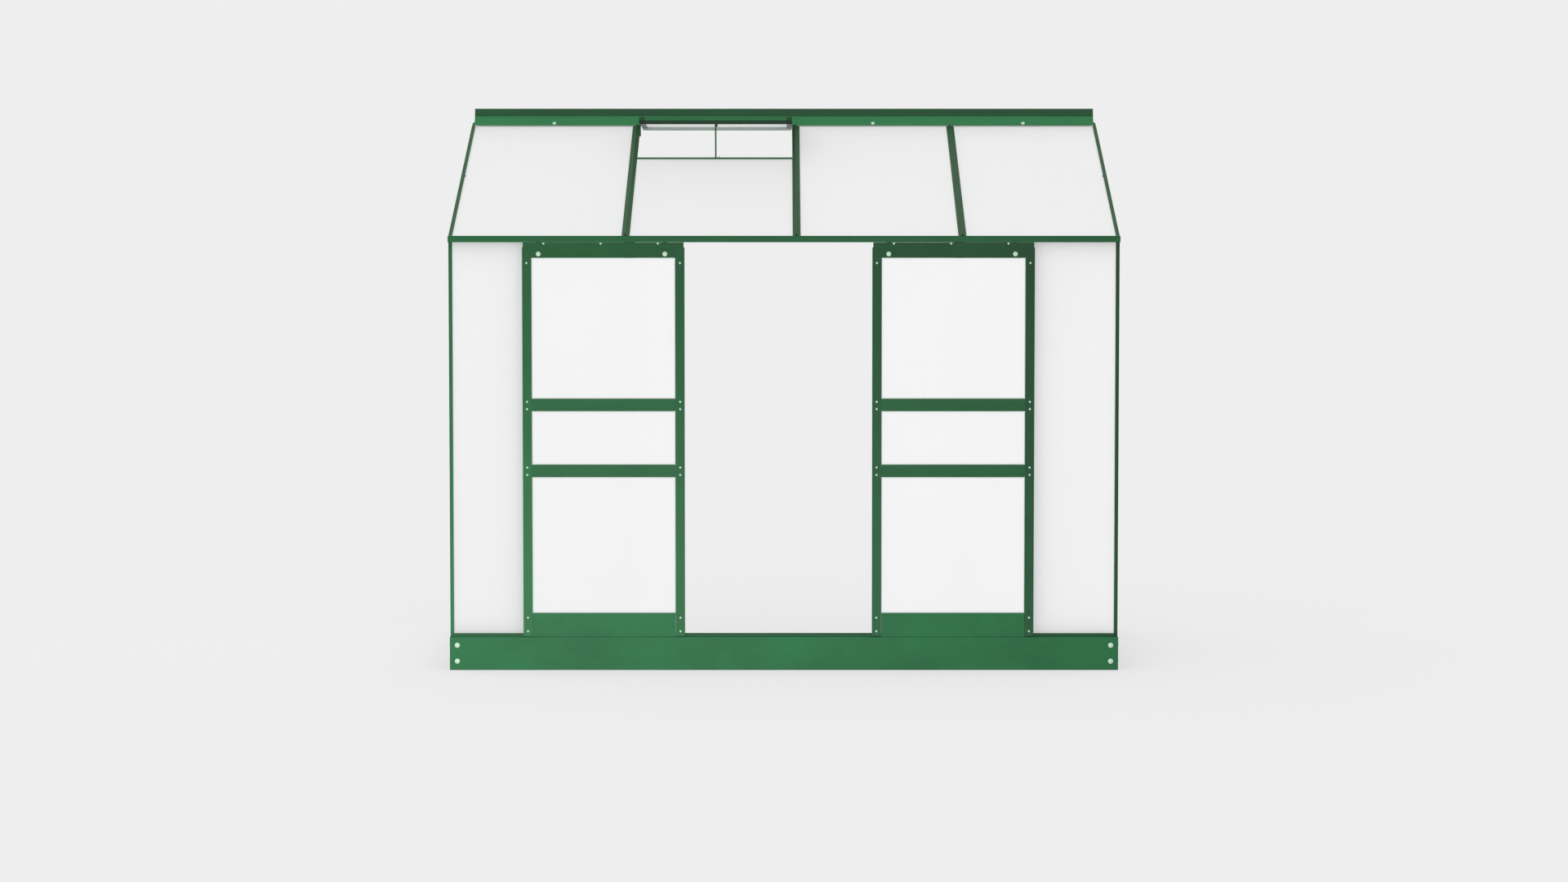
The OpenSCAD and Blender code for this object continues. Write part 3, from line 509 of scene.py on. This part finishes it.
def doorFasteners(side, finishes):
    lo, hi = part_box(side + "_door_stiles")
    middle, front = (lo[0] + hi[0]) / 2, lo[1]
    outward = (0, -1, 0)
    screws = [((x, front, z), outward) for x in (lo[0] + doorLayout["edge"], hi[0] - doorLayout["edge"])
              for z in doorLayout["heights"]]
    screws += [((middle + doorLayout["headShift"] + step * doorLayout["headStep"], front,
                 doorLayout["headHeight"]), outward) for step in (-1, 0, 1)]
    bolts = [((middle + doorLayout["boltShift"] + step * doorLayout["boltStep"], front,
               doorLayout["boltHeight"]), outward) for step in (-1, 1)]
    heads = grow(seedPoints(side + "_door_screw_heads", screws),
                 fastenerRecipe(side + "ScrewRecipe", finishes["zinc"], recess=True), doorScrew)
    hangers = grow(seedPoints(side + "_door_hanger_bolts", bolts),
                   fastenerRecipe(side + "BoltRecipe", finishes["zinc"], nut=True), hangerBolt)
    for piece in (heads, hangers):
        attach(piece, side + "_door")
    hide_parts(side + "_door_screws")


baseLayout = {"edge": 0.0286, "heights": (0.034, 0.095)}


def frameFasteners(finishes):
    lo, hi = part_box("base_front")
    points = []
    for hand in (-1, 1):
        outer = hi[0] if hand > 0 else lo[0]
        for z in baseLayout["heights"]:
            points.append(((outer - hand * baseLayout["edge"], lo[1], z), (0, -1, 0)))
            points.append(((outer, lo[1] + baseLayout["edge"], z), (hand, 0, 0)))
    bolts = grow(seedPoints("base_bolt_heads", points),
                 fastenerRecipe("BaseBoltRecipe", finishes["zinc"], nut=True), baseBolt)
    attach(bolts, "frame")
    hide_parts("base_bolts")


plateBolts = {"across": (-0.9385, 0.3630, 0.9765), "back": 0.5980, "up": 2.08979,
              "facing": (0, -0.7563, 0.6542)}
gussetBolts = {"out": 1.2445, "stand": 0.0069, "up": 1.605}
capNut = {"Head Radius": 0.0048, "Head Height": 0.0042, "Shank Radius": 0.0020, "Shank Length": 0.0030,
          "out": 1.2615, "back": 0.0230, "up": 1.8772, "facing": (0, -0.3317, 0.9434)}


def framePieces(finishes):
    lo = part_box("frame_bolts")[0]
    points = []
    for x in plateBolts["across"]:
        points.append(((x, plateBolts["back"], plateBolts["up"]), plateBolts["facing"]))
    for hand in (-1, 1):
        place = (hand * gussetBolts["out"], lo[1] + gussetBolts["stand"], gussetBolts["up"])
        points.append((place, (0, -1, 0)))
    bolts = grow(seedPoints("frame_bolt_heads", points),
                 fastenerRecipe("FrameBoltRecipe", finishes["zinc"], washer=True), frameBolt)
    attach(bolts, "frame")
    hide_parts("frame_bolts")
    places = [((hand * capNut["out"], capNut["back"], capNut["up"]), capNut["facing"]) for hand in (-1, 1)]
    nuts = grow(seedPoints("verge_cap_nuts", places),
                fastenerRecipe("CapNutRecipe", finishes["darkNut"]), capNut)
    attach(nuts, "frame")


def sealRecipe(name, material):
    # a square bead swept along the edges of its mesh
    made = Recipe(name)
    width, height = made.input("Bead Width"), made.input("Bead Height")
    path = made.node("GeometryNodeMeshToCurve", None, {"Mesh": made.start.outputs[0]})
    profile = made.node("GeometryNodeCurvePrimitiveQuadrilateral", None, {"Width": width, "Height": height})
    bead = made.node("GeometryNodeCurveToMesh", None, {
        "Curve": path, "Profile Curve": profile, "Fill Caps": True})
    made.finish(bead, material)
    return made


doorBead = {"Bead Width": 0.0022, "Bead Height": 0.0022, "inset": 0.0014, "stand": 0.0012,
            "lights": ((0.2185, 0.7385), (0.7855, 0.9900), (1.0370, 1.5725))}


def doorSeals(side, finishes):
    # a soft bead round each of the door's three panes
    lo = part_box(side + "_door_panes")[0]
    outerLo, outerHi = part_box(side + "_door_stiles")
    inset, stile = doorBead["inset"], doorLayout["stile"]
    left, right = outerLo[0] + stile + inset, outerHi[0] - stile - inset
    corners, edges = [], []
    for bottom, top in doorBead["lights"]:
        first, low, high = len(corners), bottom + inset, top - inset
        for x, z in ((left, low), (right, low), (right, high), (left, high)):
            corners.append((x, lo[1] - doorBead["stand"], z))
        edges += [(first + i, first + (i + 1) % 4) for i in range(4)]
    mesh = bpy.data.meshes.new(side + "_door_beads")
    mesh.from_pydata(corners, edges, [])
    piece = bpy.data.objects.new(side + "_door_beads", mesh)
    bpy.context.scene.collection.objects.link(piece)
    grow(piece, sealRecipe(side + "BeadRecipe", finishes["seal"]), doorBead)
    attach(piece, side + "_door")


makeViewer()
finishes = makeFinishes()
dressNodes(finishes)
for side in ("left", "right"):
    doorFasteners(side, finishes)
    doorSeals(side, finishes)
frameFasteners(finishes)
framePieces(finishes)
print("fasteners made")


def makeStudio():
    reach = studio["floorReach"]
    mesh = bpy.data.meshes.new("studio_floor")
    mesh.from_pydata([(-reach, -reach, 0), (reach, -reach, 0), (reach, reach, 0), (-reach, reach, 0)], [],
                     [(0, 1, 2, 3)])
    floor = bpy.data.objects.new("studio_floor", mesh)
    bpy.context.scene.collection.objects.link(floor)
    floor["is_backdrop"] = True
    paint = Finish(bpy.data.materials.new("studio_floor"))
    tone = studio["floorTone"]
    mesh.materials.append(paint.close(
        Base_Color=rgb(tone, tone, tone * 1.002), Roughness=1.0, Specular_IOR_Level=0.0,
        Emission_Color=rgb(1, 1, 1.002), Emission_Strength=studio["floorGlow"]))
    world = bpy.data.worlds.new("light_tent")
    bpy.context.scene.world = world
    tent = Finish(world)
    way = tent.node("ShaderNodeTexCoord", output="Generated")
    parts = tent.node("ShaderNodeSeparateXYZ", None, {0: way})
    across = Wire(tent, parts.socket.node.outputs[0])
    upward = Wire(tent, parts.socket.node.outputs[2])
    level = studio["sky"] * (1 - across * studio["left"] + upward * studio["top"])
    looked = tent.node("ShaderNodeLightPath", output="Is Camera Ray")
    strength = looked * studio["seen"] + (1 - looked) * level
    light = tent.node("ShaderNodeBackground", None, {"Color": rgb(1, 1, 1.003), "Strength": strength})
    tent.node("ShaderNodeOutputWorld", None, {"Surface": light})
    strip = studio["strip"]
    lamp = bpy.data.lights.new("low_strip", "AREA")
    lamp.shape, lamp.energy = "RECTANGLE", strip["power"]
    lamp.size, lamp.size_y = strip["wide"], strip["tall"]
    softbox = bpy.data.objects.new("low_strip", lamp)
    softbox.location = strip["place"]
    beam = Vector(strip["aim"]) - Vector(strip["place"])
    softbox.rotation_euler = beam.to_track_quat("-Z", "Y").to_euler()
    softbox.visible_camera = False
    bpy.context.scene.collection.objects.link(softbox)
    lit = bpy.data.collections.new("metal_in_the_strip_light")
    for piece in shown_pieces():
        if piece.name not in glassPieces:
            lit.objects.link(piece)
    softbox.light_linking.receiver_collection = lit
    print("studio made")


makeStudio()
